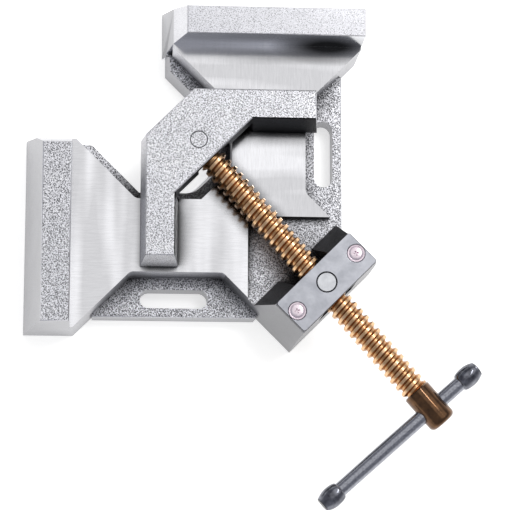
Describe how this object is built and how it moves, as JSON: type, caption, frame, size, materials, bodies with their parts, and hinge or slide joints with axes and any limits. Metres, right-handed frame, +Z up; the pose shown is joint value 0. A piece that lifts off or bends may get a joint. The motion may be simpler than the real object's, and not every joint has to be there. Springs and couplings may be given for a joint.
{
  "type": "corner clamp",
  "caption": "Right-angle corner clamp: cast frame with fixed jaws, an L-shaped moving jaw on a swivelling spindle and a sliding T-bar.",
  "frame": {"origin": "the corner where the two fixed clamping planes meet, on the underside of the frame", "axes": "+X runs along one fixed jaw, away from the corner; -Y runs along the other; +Z is up, out of the work floor. The frame is mirror-symmetric about the vertical plane x = -y"},
  "size_m": [0.2649, 0.3026, 0.066],
  "materials": {
    "silver_casting": "silver paint with a fine dark stipple; floor pads ground bright",
    "jaw_casting": "silver paint with a fine dark stipple",
    "ground_steel": "flat ground, satin",
    "screw_zinc": "zinc plated",
    "nut_steel": "turned and milled, satin",
    "copper_spindle": "coppered and polished",
    "dark_bar": "dark bright-drawn steel",
    "plain_steel": "plain machined steel"
  },
  "bodies": {
    "frame": {"base_frame": "silver_casting", "nut_cover_plate": "ground_steel", "cover_screw_left": "screw_zinc", "cover_screw_right": "screw_zinc"},
    "nut": {"spindle_nut": "nut_steel"},
    "thrust_carrier": {"thrust_block": "plain_steel", "lock_pin_left": "plain_steel", "lock_pin_right": "plain_steel"},
    "spindle": {"spindle": "copper_spindle", "thrust_washer": "plain_steel"},
    "jaw": {"moving_jaw": "jaw_casting", "jaw_pin_upper": "nut_steel", "jaw_pin_lower": "nut_steel"},
    "handle": {"handle_bar": "dark_bar", "handle_knob_left": "dark_bar", "handle_knob_right": "dark_bar"}
  },
  "joints": [
    {"name": "nut_swivel", "type": "hinge", "parent": "frame", "child": "nut", "pos_m": [0.1458, -0.1458, 0.049], "axis": [0, 0, 1], "range_deg": [-1, 8]},
    {"name": "spindle_feed", "type": "slide", "parent": "nut", "child": "thrust_carrier", "axis": [-0.6626, 0.749, 0], "range_m": [-0.0651, 0.0351]},
    {"name": "spindle_turn", "type": "hinge", "parent": "thrust_carrier", "child": "spindle", "pos_m": [0.07265, -0.06312, 0.049], "axis": [-0.6626, 0.749, 0], "range_deg": [-4680, 2520]},
    {"name": "jaw_swivel", "type": "hinge", "parent": "thrust_carrier", "child": "jaw", "pos_m": [0.07265, -0.06312, 0.049], "axis": [0, 0, -1], "range_deg": [-1, 8]},
    {"name": "bar_slide", "type": "slide", "parent": "spindle", "child": "handle", "axis": [0.749, 0.6626, 0], "range_m": [-0.0124, 0.0612]}
  ],
  "couplings": [
    {"joint": "spindle_feed", "follows": "spindle_turn", "m_per_rad": 0.00079577}
  ]
}
